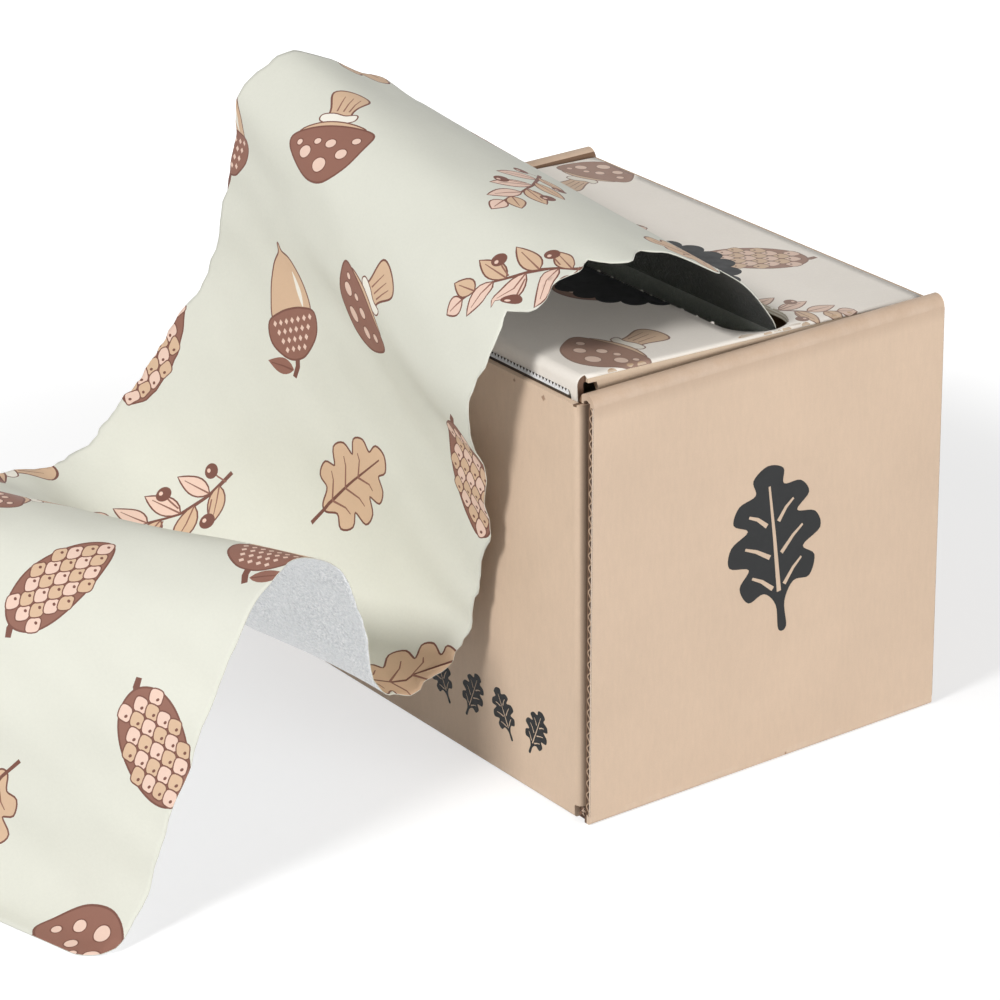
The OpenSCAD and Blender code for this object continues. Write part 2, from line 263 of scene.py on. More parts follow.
def printed_board():
    """The tray: tan print outside, bare liner within, paler worn folds."""
    g = Graph("tan_board")
    x, y, z = g.split(g.place)
    out_x, out_y = g.absolute(x), g.absolute(y)
    inside = g.times(g.below(out_x, 0.0662), g.below(out_y, 0.0525), g.above(z, 0.0015))
    base = g.mix(inside, (222, 196, 171), (190, 158, 126))
    # the folds at the foot and along the rolled-over tops are a touch paler
    top_fold = g.times(g.above(z, FOLD_TOP * MM), g.above(out_x, END_WALL_IN))
    foot_fold = g.below(z, CREASE * MM)
    worn = g.most(top_fold, g.times(foot_fold, 0.6))
    rub_and_shade = g.remap(g.noise(140, 4, 0.7), 0.42, 0.66)
    base = g.mix(g.times(worn, rub_and_shade, 0.5), base, (233, 212, 192))
    # painted shade: the rolled-over tops are darkened round their outer shoulder and painted dark along the
    # inner edge, where the crease lies in shade
    shoulder_shade = g.times(g.remap(z, 0.1030, 0.1090, 0.0, 0.46), g.above(out_x, 0.0674), g.below(out_y, 0.0538))
    base = g.mix(shoulder_shade, base, (164, 136, 113))
    inner_crease_shade = g.times(g.within(out_x, 0.0664, 0.0674), g.above(z, 0.1060))
    base = g.mix(inner_crease_shade, base, (112, 84, 62))
    # the tabs tucked behind the end panels' cut edges lie in the shade of the groove
    groove = g.times(g.remap(out_x, 0.0678, 0.0690), g.below(out_x, 0.0706), g.above(out_y, 0.0480),
                     g.below(z, 0.1075))
    base = g.mix(groove, base, (112, 86, 68))
    # two small crimps on the front wall's top edge, painted as dark spots: partly bruised board, partly
    # painted shade in the dents they leave
    for crimp_x, crimp_z, wide in ((0.0437, 0.1052, 0.0007), (0.0550, 0.1044, 0.0010)):
        away = g.plus(g.absolute(g.minus(x, crimp_x)), g.absolute(g.minus(z, crimp_z)),
                      g.times(g.noise(1500, 2, 0.6), 0.0008))
        spot = g.times(g.remap(away, wide, wide + 0.0004, 0.75, 0.0), g.below(y, -0.0535))
        base = g.mix(g.most(spot, 0.0), base, (150, 112, 88))
    colour, fibre = board_grain(g, base)
    # the flutes lie along Y in the end walls and upright in the front and back
    end = g.above(out_x, END_WALL_IN)
    ribs = g.plus(g.times(washboard(g, z), end), g.times(washboard(g, x), g.minus(1.0, end)))
    height = g.plus(g.times(ribs, 0.5), g.times(fibre, 0.35))
    dents = g.remap(g.noise(46, 2, 0.4), 0.25, 0.75)
    normal = g.bump(dents, 0.0006, 0.25, g.bump(height, 0.00006, 0.5))
    rough = g.remap(g.noise(60, 3, 0.6), 0.3, 0.7, 0.5, 0.62)
    return g.finish(colour, rough, normal, shine=0.4)


def lid_board():
    """The lid's own board: tan flaps, bare liner below, white raw edge in the slot."""
    g = Graph("lid_board")
    x, y, z = g.split(g.place)
    out_x = g.absolute(x)
    slot = g.times(g.below(out_x, 0.0651), g.within(y, -0.00325, 0.0161), g.above(z, 0.1076))
    side = g.above(out_x, 0.0652)
    base = g.mix(side, (196, 166, 136), (206, 184, 160))
    # the cut ends of the lip and its fold: raw board colour, darkened further with painted shade
    cut = g.times(g.below(y, -0.0490), g.within(out_x, 0.0646, 0.0652))
    base = g.mix(cut, base, (112, 84, 66))
    # paper layers of the cut edge round the slot
    layer = g.math("SINE", g.times(z, 2 * math.pi / 0.0008))
    edge = g.mix(g.remap(layer, -1, 1), (205, 190, 172), (243, 238, 230))
    base = g.mix(slot, base, edge)
    colour, fibre = board_grain(g, base)
    height = g.plus(g.times(washboard(g, x), 0.4), g.times(fibre, 0.4))
    return g.finish(colour, 0.6, g.bump(height, 0.00006, 0.5), shine=0.4)


def brushed_steel():
    """The cutter: a brushed band with ground teeth; the band's dark colour is partly a painted dark
    reflection, and the teeth's near white is partly a painted glint.
    """
    g = Graph("cutter_steel")
    streak = g.noise(700, 4, 0.7, g.stretched((0.04, 1, 1)))
    speck = g.noise(2600, 2, 0.5)
    z = g.split(g.place)[2]
    # painted reflection: the band's dark base colour partly stands for the dark surroundings that the steel
    # mirrors
    band = g.ramp(streak, (70, 66, 62), (104, 99, 94))
    # painted glint: the ground teeth are near white and barely metallic, so they stay bright in shade
    ground = g.above(z, TEETH_FOOT)
    colour = g.mix(ground, band, (246, 246, 246))
    rough = g.remap(speck, 0.3, 0.7, 0.24, 0.4)
    metal = g.minus(0.9, g.times(ground, 0.75))
    # the ground faces of the teeth lean back
    bevel = g.times(g.most(g.minus(z, TEETH_FOOT), 0.0), -1.0)
    return g.finish(colour, rough, g.bump(bevel, 1.0, 1.0, g.bump(streak, 0.00003, 0.4)), metal=metal)


def kraft_core():
    """Spiral-wound card tube with its seam."""
    g = Graph("core_card")
    x, y, z = g.split(g.place)
    angle = g.math("DIVIDE", g.math("ARCTAN2", g.minus(z, ROLL_HEIGHT * MM), y), 2 * math.pi)
    turn = g.math("FRACT", g.plus(g.math("DIVIDE", x, 0.055), angle))
    seam = g.below(g.absolute(g.minus(turn, 0.5)), 0.008)
    fibre = g.noise(800, 4, 0.65, g.stretched((1, 0.3, 0.3)))
    base = g.ramp(fibre, (163, 128, 92), (190, 156, 118))
    colour = g.mix(g.times(seam, 0.7), base, (120, 90, 62))
    height = g.minus(g.times(fibre, 0.4), g.times(seam, 1.0))
    return g.finish(colour, 0.75, g.bump(height, 0.0001, 0.6))


def ink_colour(g):
    return g.node("ShaderNodeVertexColor", layer_name="ink")


def printed_face(name, rough_low, rough_high, emboss, grain, shine):
    """Ink on foil or card: the ink is a colour attribute, with a little unevenness."""
    g = Graph(name)
    cloud = g.noise(36, 4, 0.6)
    dots = g.noise(1500, 2, 0.6)
    shade = g.plus(g.remap(cloud, 0.3, 0.7, 0.98, 1.015), g.remap(dots, 0.3, 0.7, -grain, grain))
    colour = g.shaded(ink_colour(g), shade)
    soft = g.noise(120, 3, 0.5)
    normal = g.bump(soft, 0.0006, 0.18, g.bump(g.cells(820), 0.00005, emboss))
    rough = g.remap(g.noise(300, 3, 0.6), 0.3, 0.7, rough_low, rough_high)
    return g.finish(colour, rough, normal, shine=shine)


def bare_foil():
    """The web's back: satin aluminium with a fine pebbled emboss."""
    g = Graph("bare_foil")
    glint = g.noise(1500, 3, 0.75)
    cloud = g.noise(110, 3, 0.6)
    shade = g.plus(g.times(g.remap(cloud, 0.35, 0.65, 0.4, 1.0), g.minus(glint, 0.5)), 0.5)
    colour = g.ramp(shade, (216, 219, 221), (236, 238, 239), (254, 254, 254), low=0.36, high=0.64)
    normal = g.bump(cloud, 0.0004, 0.3, g.bump(g.cells(1300), 0.0003, 1.0))
    rough = g.remap(glint, 0.3, 0.7, 0.34, 0.5)
    # painted shade and reflection: under the first arch the silver back is darkened towards black, where it
    # faces the dark mouth of the carton
    x, y, z = g.split(g.place)
    under = g.times(g.remap(y, -0.052, -0.03, 0.0, 0.62), g.above(z, 0.1075))
    colour = g.mix(under, colour, (40, 41, 40))
    return g.finish(colour, rough, normal, metal=0.93)


def roll_turns():
    """The wound roll: sage print round it and silver turn edges on its ends."""
    g = Graph("wound_foil")
    x, y, z = g.split(g.place)
    up = g.minus(z, ROLL_HEIGHT * MM)
    radius = g.math("SQRT", g.plus(g.times(y, y), g.times(up, up)))
    ring = g.noise(3200, 3, 0.8, g.node("ShaderNodeCombineXYZ", {0: radius}))
    end = g.above(g.absolute(x), 0.0630)
    rings = g.ramp(ring, (170, 173, 174), (232, 234, 235))
    sage = g.ramp(g.noise(60, 4, 0.6), (214, 217, 203), (226, 228, 214))
    colour = g.mix(end, sage, rings)
    soft = g.noise(90, 3, 0.5)
    return g.finish(colour, 0.42, g.bump(soft, 0.0005, 0.25, g.bump(ring, 0.00004, 0.5)), metal=0.15)


def fluted_paper():
    """Raw corrugated edge: the ink attribute gives liners, flutes and a painted shade for the hollows between
    them.
    """
    g = Graph("raw_edge")
    colour, fibre = board_grain(g, ink_colour(g))
    return g.finish(colour, 0.85, g.bump(fibre, 0.0001, 0.7))


def torn_paper():
    """White specks of torn liner."""
    g = Graph("torn_paper")
    fibre = g.noise(1800, 3, 0.7)
    colour = g.ramp(fibre, (226, 218, 206), (248, 244, 238))
    return g.finish(colour, 0.9, g.bump(fibre, 0.0001, 0.8))


# ---- meshes

def place_object(name, data):
    """A new object in the scene, at the origin."""
    body = bpy.data.objects.new(name, data)
    bpy.context.scene.collection.objects.link(body)
    return body


def add_object(name, verts, faces, materials, smooth=True):
    """A mesh from points in millimetres, at the origin, unturned and unscaled."""
    mesh = bpy.data.meshes.new(name)
    mesh.from_pydata([tuple(c * MM for c in v) for v in verts], [], faces)
    for material in materials:
        mesh.materials.append(material)
    mesh.polygons.foreach_set("use_smooth", [smooth] * len(mesh.polygons))
    mesh.update()
    return place_object(name, mesh)


def from_bmesh(bm, name, material):
    """Ends a bmesh as an object of one material."""
    mesh = bpy.data.meshes.new(name)
    bm.to_mesh(mesh)
    bm.free()
    mesh.materials.append(material)
    mesh.polygons.foreach_set("material_index", [0] * len(mesh.polygons))
    return place_object(name, mesh)


def face_outwards(piece):
    bm = bmesh.new()
    bm.from_mesh(piece.data)
    bmesh.ops.recalc_face_normals(bm, faces=bm.faces)
    bm.to_mesh(piece.data)
    bm.free()


def paint(mesh, colours):
    """Writes one ink colour for each face."""
    layer = mesh.color_attributes.new("ink", "FLOAT_COLOR", "CORNER")
    flat = np.zeros((len(mesh.loops), 4), np.float32)
    for face, colour in zip(mesh.polygons, colours):
        flat[face.loop_start:face.loop_start + face.loop_total] = colour
    layer.data.foreach_set("color", flat.ravel())


# ---- the print: generic woodland motifs drawn from curves, in millimetres

def oval(cx, cy, rx, ry, turn=0.0, count=22):
    c, s = math.cos(turn), math.sin(turn)
    return [(cx + rx * math.cos(a) * c - ry * math.sin(a) * s,
             cy + rx * math.cos(a) * s + ry * math.sin(a) * c)
            for a in (2 * math.pi * k / count for k in range(count))]


def between(a, b, c, d, t):
    """The point at share t of the smooth curve from b to c, with a before and d after them."""
    return 0.5 * (2 * b + (c - a) * t + (2 * a - 5 * b + 4 * c - d) * t * t
                  + (3 * b - a - 3 * c + d) * t ** 3)


def smooth_loop(points, steps=6):
    """A closed smooth curve through the given points."""
    out = []
    n = len(points)
    for i in range(n):
        around = [np.array(points[(i + k) % n], float) for k in (-1, 0, 1, 2)]
        out += [tuple(between(*around, k / steps)) for k in range(steps)]
    return out


def grown(points, by):
    """The outline moved outwards, for the dark line that borders a shape."""
    p = np.array(points, float)
    along = np.roll(p, -1, 0) - np.roll(p, 1, 0)
    along /= np.maximum(np.linalg.norm(along, axis=1), 1e-9)[:, None]
    area = 0.5 * np.sum(p[:, 0] * np.roll(p[:, 1], -1) - np.roll(p[:, 0], -1) * p[:, 1])
    side = 1 if area > 0 else -1
    return [tuple(q) for q in p + side * by * np.stack([along[:, 1], -along[:, 0]], 1)]


def leaf_shape(x, y, length, width, turn):
    """A pointed leaf with its stalk end at (x, y)."""
    c, s = math.cos(turn), math.sin(turn)
    out = []
    for side in (1, -1):
        ts = [k / 8 for k in range(9)] if side == 1 else [k / 8 for k in range(7, 0, -1)]
        for t in ts:
            w = side * width / 2 * math.sin(math.pi * t ** 0.8)
            out.append((x + length * t * c - w * s, y + length * t * s + w * c))
    return out


def stroke(points, wide_start, wide_end):
    """A tapering line."""
    p = np.array(points, float)
    along = np.gradient(p, axis=0)
    along /= np.linalg.norm(along, axis=1)[:, None]
    side = np.stack([-along[:, 1], along[:, 0]], 1)
    wide = np.linspace(wide_start, wide_end, len(p))[:, None] / 2
    return [tuple(q) for q in np.vstack([p + side * wide, (p - side * wide)[::-1]])]


def lined(shape, ink, by=0.5):
    """A shape in one ink over its dark border."""
    return [("umber", grown(shape, by)), (ink, shape)]


def toadstool():
    cap = smooth_loop([(-12, 1.5), (-11.2, 6), (-6.5, 12.5), (0.8, 15), (8, 11.8), (11.8, 5.5), (12, 1.2),
                       (6, -0.6), (-1, -1.2), (-7, -0.4)])
    stem = smooth_loop([(-3, 1), (3.2, 1), (3, -7), (4.6, -14.2), (0.2, -16.4), (-4.8, -14.4), (-2.8, -7)])
    frill = smooth_loop([(-4.4, -3.4), (0, -2.4), (4.6, -3.4), (4.8, -5.8), (1.8, -5.2), (-1.6, -6),
                         (-4.6, -5.4)])
    gills = smooth_loop([(-9.5, 0.2), (-3, 2.2), (3, 2.2), (9.5, 0), (3.5, -2.4), (-3.5, -2.6)])
    out = lined(stem, "tan", 0.55)
    for x in (-1.2, 0.6, 2.2):
        out.append(("bark", stroke([(x, -7), (x * 1.1, -10.5), (x * 1.25, -13.6)], 0.45, 0.2)))
    out += lined(frill, "milk", 0.4) + lined(gills, "tan", 0.45)
    for k in range(-3, 4):
        out.append(("bark", stroke([(k * 0.8, 1.4), (k * 2.1, -1.5 + 0.05 * k * k)], 0.35, 0.35)))
    out += lined(cap, "bark", 0.55)
    for x, y, r in ((-6.5, 6, 1.9), (-1, 10.4, 2.2), (5.4, 8, 1.7), (1.2, 4.4, 1.5), (8.6, 4, 1.2),
                    (-3, 3.4, 1), (-8.8, 3, 0.9)):
        out += [("umber", oval(x, y, r + 0.3, r * 0.85 + 0.3)), ("peach", oval(x, y, r, r * 0.85))]
    return out


def acorn():
    nut = smooth_loop([(-8, 2), (-7.6, -5), (-4.4, -11.5), (-0.8, -14.2), (0, -16.4), (0.8, -14.2),
                       (4.4, -11.5), (7.6, -5), (8, 2), (0, 4)])
    cap = smooth_loop([(-10, 2), (-9.4, 7), (-4.5, 11), (0, 12), (4.5, 11), (9.4, 7), (10, 2), (5, 0.4),
                       (0, 0), (-5, 0.4)])
    shine = smooth_loop([(-5.4, 0), (-5.6, -4), (-3.6, -9), (-3.8, -4)])
    out = lined(nut, "tan") + [("milk", shine), ("umber", stroke([(0, 11), (0.6, 14), (2.2, 16.4)], 2, 1.5))]
    out += lined(cap, "bark")
    for row in range(4):
        for k in range(-3 + row // 2, 4 - row // 2):
            x = k * 2.6 + (1.3 if row % 2 else 0)
            y = 2.6 + row * 2.3
            if abs(x) < 8.2 - row * 1.3:
                out.append(("peach", [(x, y + 0.8), (x - 0.8, y), (x, y - 0.8), (x + 0.8, y)]))
    out.append(("bark", leaf_shape(2.2, 14.6, 10, 4, -0.35)))
    out.append(("umber", stroke([(2.8, 14.5), (6, 13.2), (10.4, 11.8)], 0.5, 0.25)))
    return out


# the right half of a lobed leaf, from its tip to its stalk
LOBES = [(0, 16), (3.4, 14.4), (3.2, 11.4), (7, 10.6), (8.6, 7.6), (5.6, 5.2), (9.6, 3.4), (10.4, -0.2),
         (6.2, -2.2), (8.6, -5), (7, -8.6), (3.4, -8.2), (1, -11.4)]


def mirrored(half, steps):
    return smooth_loop(half + [(-x, y) for x, y in half[:0:-1]], steps)


def oak_leaf():
    out = lined(mirrored(LOBES, 4), "tan")
    out.append(("umber", stroke([(0, 14), (0.2, 2), (0, -10), (-1.4, -16.6)], 0.4, 1.1)))
    for y0, x1, y1 in ((8.5, 6, 10.2), (2.5, 8, 5), (-4, 6.8, -1.2)):
        for side in (-1, 1):
            vein = [(0, y0 - 4.5), (side * x1 * 0.55, (y0 + y1) / 2 - 2.4), (side * x1 * 0.86, y1 - 3)]
            out.append(("bark", stroke(vein, 0.6, 0.3)))
    return out


def berry_sprig():
    stem = [(-2, -16.5), (-0.5, -9), (0.6, -1), (0.2, 7), (-1.6, 15)]
    out = [("umber", stroke(stem, 1.1, 0.5))]
    leaves = ((-1, -12, 0.55, 9), (-0.9, -9, 2.5, 10), (0.2, -4.5, 0.6, 11), (0.4, -1, 2.45, 10.5),
              (0.6, 3.5, 0.75, 9.5), (0.2, 6.5, 2.3, 9), (-0.6, 11, 0.9, 6.5), (-1.5, 14.4, 1.8, 5))
    for k, (x, y, turn, length) in enumerate(leaves):
        out += lined(leaf_shape(x, y, length, 4.2, turn), "peach" if k % 2 else "tan", 0.4)
        tip = (x + length * 0.8 * math.cos(turn), y + length * 0.8 * math.sin(turn))
        out.append(("bark", stroke([(x, y), ((x + tip[0]) / 2, (y + tip[1]) / 2), tip], 0.45, 0.2)))
    for x, y in ((5.6, -6.6), (-6.4, 1.6), (6.4, 5.4), (-5.6, -11.6)):
        out += [("bark", stroke([(x * 0.15, y - 2.5), (x * 0.6, y - 1), (x, y)], 0.4, 0.4)),
                ("umber", oval(x, y, 1.9, 1.9)), ("peach", oval(x - 0.5, y + 0.6, 0.55, 0.5, count=10))]
    return out


def pine_cone():
    body = smooth_loop([(0, 16), (4.6, 12.5), (7.8, 5), (8.2, -4), (5.4, -11.6), (0, -14.6), (-5.4, -11.6),
                        (-8.2, -4), (-7.8, 5), (-4.6, 12.5)])
    out = [("umber", stroke([(0, -13), (0.4, -15.4), (1.8, -17.2)], 2.2, 1.6))] + lined(body, "bark")
    for row in range(9):
        y = -11.4 + 3.1 * row
        wide = 8.0 * math.sqrt(max(0.0, 1 - ((y - 0.6) / 15.4) ** 2))
        for k in range(-2, 3):
            x = k * 4.3 + (2.15 if row % 2 else 0)
            if abs(x) > wide - 0.6:
                continue
            lean = x * 0.05
            scale = smooth_loop([(x - 1.9 + lean, y + 0.5), (x - 1.1 + lean, y + 2.3),
                                 (x + lean * 2, y + 3.0), (x + 1.1 + lean, y + 2.3),
                                 (x + 1.9 + lean, y + 0.5), (x, y - 1.5)], 4)
            out += lined(scale, "tan" if row % 2 else "peach", 0.35)
            out.append(("umber", oval(x + lean * 1.5, y + 1.6, 0.5, 0.4, count=8)))
    return out


MOTIFS = [toadstool, oak_leaf, acorn, berry_sprig, pine_cone]


def placed(motif, x, y, turn, size, flip):
    """A motif's shapes at a place, turned, sized and perhaps seen from behind."""
    c, s = math.cos(turn) * size, math.sin(turn) * size
    f = -1 if flip else 1
    out = []
    for ink, points in motif():
        moved = [(x + f * px * c - py * s, y + f * px * s + py * c) for px, py in points]
        out.append((ink, moved[::-1] if flip else moved))
    return out


def scatter(wide, long, seed, gap_x, gap_y, start, size=1.0):
    """Shapes of motifs on a staggered lattice, each turned its own way."""
    dice = random.Random(seed)
    shapes = []
    kind = 0
    column = 0
    x = start[0]
    while x < wide + 12:
        y = start[1] + (gap_y / 2 if column % 2 else 0)
        while y < long + 12:
            turn = dice.uniform(-0.75, 0.75) + (math.pi if dice.random() < 0.3 else 0)
            shapes += placed(MOTIFS[kind % len(MOTIFS)], x + dice.uniform(-3, 3), y + dice.uniform(-4, 4),
                             turn, size * dice.uniform(0.94, 1.04), dice.random() < 0.5)
            kind += 2 if kind % 3 else 1
            y += gap_y
        x += gap_x
        column += 1
    return shapes


def printed_plan(outline, grid, shapes, ground, holes=()):
    """Cuts a flat outline into triangles along the edges of every printed shape.

    Returns the flat points, the triangles and an ink for each of them."""
    points, loops, inks = [], [], []

    def add_loop(loop):
        p = np.array(loop, float)
        turns = np.sum(p[:, 0] * np.roll(p[:, 1], -1) - np.roll(p[:, 0], -1) * p[:, 1])
        if turns < 0:
            loop = loop[::-1]
        first = len(points)
        points.extend(Vector(p) for p in loop)
        loops.append(list(range(first, first + len(loop))))

    add_loop(outline)
    inks.append(ground)
    low = np.min(np.array(outline), 0) - 1
    high = np.max(np.array(outline), 0) + 1
    for ink, loop in shapes:
        at = np.array(loop)
        if (at.max(0) < low).any() or (at.min(0) > high).any():
            continue
        add_loop(loop)
        inks.append(ink)
    hole_from = len(loops)
    for hole in holes:
        add_loop(hole)
        inks.append(None)
    points.extend(Vector(p) for p in grid)
    verts, _, faces, _, _, from_faces = delaunay_2d_cdt(points, [], loops, 1, 1e-4)
    kept, colours = [], []
    for face, sources in zip(faces, from_faces):
        if 0 not in sources or any(s >= hole_from for s in sources):
            continue
        kept.append(tuple(face))
        colours.append(inks[max(sources)])
    used = sorted({i for face in kept for i in face})
    new = {old: k for k, old in enumerate(used)}
    flat = np.array([verts[i] for i in used], float)
    return flat, [tuple(new[i] for i in face) for face in kept], colours


def rim_of(faces):
    """Directed boundary edges of a triangle mesh."""
    seen = {}
    for face in faces:
        for a, b in zip(face, face[1:] + face[:1]):
            if (b, a) in seen:
                del seen[(b, a)]
            else:
                seen[(a, b)] = True
    return list(seen)


def closed(faces, count, first=0):
    """Faces of a thin closed shell: those given, their backs count points on, and the rim between."""
    fronts = [tuple(first + i for i in face) for face in faces]
    backs = [tuple(count + i for i in face[::-1]) for face in fronts]
    rims = [(first + b, first + a, first + count + a, first + count + b) for a, b in rim_of(faces)]
    return fronts + backs + rims


# ---- the web of foil

def web_tables():
    """Right edge and cross line of the web, from the roll to its end.

    The last column counts four rings for each row of DRAPE, and is -1 inside the carton."""
    rows = []
    reach = math.hypot(SLOT_WEB[0], SLOT_WEB[1] - ROLL_HEIGHT)
    leave = math.atan2(SLOT_WEB[1] - ROLL_HEIGHT, SLOT_WEB[0]) - math.acos(WEB_RADIUS / reach)
    edge_x = FOIL_WIDE / 2

    def on_roll(a):
        return WEB_RADIUS * math.cos(a), ROLL_HEIGHT + WEB_RADIUS * math.sin(a)

    for k in range(60):
        rows.append((edge_x, *on_roll(leave - math.radians(WRAP_DEG) * (1 - k / 60)), 0.0, 0.0, -1.0))
    for k in range(80):
        y, z = (here + (there - here) * (k / 80) for here, there in zip(on_roll(leave), SLOT_WEB))
        rows.append((edge_x, y, z, 0.0, 0.0, -1.0))
    drape = np.array(DRAPE, float)
    last = len(drape) - 1
    smooth = []
    for i in range(last):
        around = [drape[min(max(i + k, 0), last)] for k in (-1, 0, 1, 2)]
        smooth += [(between(*around, k / 24), 4 * (i + k / 24)) for k in range(24)]
    for r, ring in smooth + [(drape[last], 4.0 * last)]:
        rows.append((edge_x - r[0], -HALF_DEEP - r[1], r[2], r[3], r[4], ring))
    rows = np.array(rows)
    turn, lift = np.radians(rows[:, 3]), np.radians(rows[:, 4])
    across = np.stack([-np.cos(lift) * np.cos(turn), -np.cos(lift) * np.sin(turn), np.sin(lift)], 1)
    right = rows[:, :3]
    middle = right + across * FOIL_WIDE / 2
    travel = np.r_[0, np.cumsum(np.linalg.norm(np.diff(middle, axis=0), axis=1))]
    return travel, right, across, rows[:, 5]


TRAVEL, RIGHT, ACROSS, RING = web_tables()
WEB_LONG = float(TRAVEL[-1])
RINGS = 4 * (len(DRAPE) - 1)


def at_travel(u, table):
    if table.ndim == 1:
        return np.interp(u, TRAVEL, table)
    return np.stack([np.interp(u, TRAVEL, table[:, k]) for k in range(table.shape[1])], 1)


def ripple(ring, phase):
    """Uneven wave along an edge, calmer along the tail."""
    slow = 0.6 * np.sin(np.radians(97 * ring + phase)) + 0.4 * np.sin(np.radians(41 * ring + 2 * phase))
    uneven = 0.65 + 0.35 * np.sin(np.radians(23 * ring + 3 * phase))
    fade = np.minimum(1, np.maximum(0, ring - 1) / 6) * np.minimum(1, np.maximum(0, RINGS - 1 - ring) / 6)
    calm = 1 - 0.6 * np.clip((ring - 52) / 12, 0, 1)
    return slow * uneven * fade * calm


def web_surface(flat):
    """Middle surface of the web and its printed side's normal, for flat points (across, along)."""
    v, u = flat[:, 0], flat[:, 1]

    def place(v, u):
        ring = at_travel(u, RING)
        across = at_travel(u, ACROSS)
        across /= np.linalg.norm(across, axis=1)[:, None]
        share = v / FOIL_WIDE
        near = np.exp(-(np.minimum(share, 1 - share) * 14) ** 2)
        inward = np.where(share < 0.5, 0.5 + 0.65 * ripple(ring, 20), -0.5 - 0.65 * ripple(ring, 150))
        calm = 1 - 0.7 * np.clip((ring - 52) / 12, 0, 1)
        small = 0.2 * np.sin(np.radians(251 * ring + 80 * share)) * np.sin(np.radians(37 * ring))
        small = small * np.where(share < 0.5, 1, -1)
        grow = np.clip((ring - 1) / 5, 0, 1)
        # the arch's right edge was bent into points as it was pulled out
        points = 0.62 - np.abs(np.sin(np.radians(37 * ring + 25 + 30 * np.sin(np.radians(61 * ring)))))
        over_arch = np.clip(ring / 3, 0, 1) * np.clip((22 - ring) / 6, 0, 1)
        bent = np.where(share < 0.5, EDGE_POINTS * points * over_arch, 0)
        moved = v + EDGE_DENT * near * ((inward + small * calm) * grow + bent)
        return at_travel(u, RIGHT) + across * moved[:, None], ring, near, share

    p, ring, near, share = place(v, u)
    forward = place(v, np.minimum(u + 0.4, WEB_LONG))[0] - place(v, np.maximum(u - 0.4, 0))[0]
    cross = place(np.minimum(v + 0.5, FOIL_WIDE), u)[0] - place(np.maximum(v - 0.5, 0), u)[0]
    normal = np.cross(cross, forward)
    normal /= np.linalg.norm(normal, axis=1)[:, None]
    curl = EDGE_CURL * near * np.where(share < 0.5, ripple(ring, 60), ripple(ring, 200))
    # slack in the sheet: shallow buckles that cross it at a slant
    free = np.clip((ring - 8) / 12, 0, 1)
    buckle = (0.22 * np.sin(2 * np.pi * (u / 43 + v / 120))
              + 0.16 * np.sin(2 * np.pi * (u / 27 - v / 75) + 1.1)
              + 0.10 * np.sin(2 * np.pi * (u / 15 + v / 41) + 2.3)) * free
    off_table = np.clip((RINGS - ring) / 10, 0, 1)
    # the U-bend sags between its two edges
    along_bend = np.exp(-((ring - VALLEY_RING) / 9.0) ** 2)
    sag = -VALLEY_SAG * along_bend * np.sin(np.pi * np.clip(share, 0, 1)) ** 1.5
    return p + normal * ((curl + buckle * off_table + sag)[:, None]), normal


def make_web(print_material, back_material):
    """The whole web from the roll to its cut end, printed on one face and silver on the other."""
    us = np.linspace(0, WEB_LONG, int(WEB_LONG / 1.6) + 1)
    marks = np.r_[0, 1.2, 2.6, 4.4, 6.6, 9.2, np.linspace(12.5, FOIL_WIDE - 12.5, 30),
                  FOIL_WIDE - np.array([9.2, 6.6, 4.4, 2.6, 1.2, 0])]
    # the cut end has its corners worn round
    worn = 7.0
    arc = [(worn * (1 - math.sin(a)), worn * (1 - math.cos(a))) for a in np.linspace(0, math.pi / 2, 9)]
    outline = ([(v, 0) for v in marks] + [(FOIL_WIDE, u) for u in us[1:] if u < WEB_LONG - worn - 0.5]
               + [(FOIL_WIDE - b, WEB_LONG - a) for b, a in arc[::-1]]
               + [(v, WEB_LONG) for v in marks[::-1] if worn + 0.5 < v < FOIL_WIDE - worn - 0.5]
               + [(b, WEB_LONG - a) for b, a in arc]
               + [(0, u) for u in us[:0:-1] if u < WEB_LONG - worn - 0.5])
    grid = [(v, u) for v in marks[1:-1] for u in us[1:-1]
            if u < WEB_LONG - worn or worn < v < FOIL_WIDE - worn]
    shapes = scatter(FOIL_WIDE, WEB_LONG, seed=11, gap_x=41, gap_y=57, start=(9, 20))
    flat, faces, inks = printed_plan(outline, grid, shapes, "sage")
    middle, normal = web_surface(flat)
    top = middle + normal * FOIL_THICK / 2
    under = middle - normal * FOIL_THICK / 2
    off_table = 0.02
    for points, lowest in ((top, FOIL_THICK + off_table), (under, off_table)):
        points[:, 2] = np.maximum(points[:, 2], lowest)
    all_faces = closed(faces, len(flat))
    rims = len(all_faces) - 2 * len(faces)
    web = add_object("foil_web", np.vstack([top, under]), all_faces, [print_material, back_material])
    mesh = web.data
    paint(mesh, [INKS[i] for i in inks] + [INKS["sage"]] * (len(faces) + rims))
    mesh.polygons.foreach_set("material_index", [0] * len(faces) + [1] * len(faces) + [0] * rims)
    # a flat map of the web, the printed face beside its back
    uv = mesh.uv_layers.new(name="web_map")
    both = np.vstack([flat / 430.0, flat / 430.0 + np.array([0.4, 0])])
    loop_verts = np.zeros(len(mesh.loops), np.int32)
    mesh.loops.foreach_get("vertex_index", loop_verts)
    uv.data.foreach_set("uv", both[loop_verts].astype(np.float32).ravel())
    return web


# ---- the print on the lid

def lid_place(x, y, z):
    """From the lid's own frame to the carton's, as it stands ajar."""
    c, s = math.cos(math.radians(-LID_AJAR)), math.sin(math.radians(-LID_AJAR))
    return np.stack([x, HINGE[0] + y * c - z * s, HINGE[1] + y * s + z * c], -1)


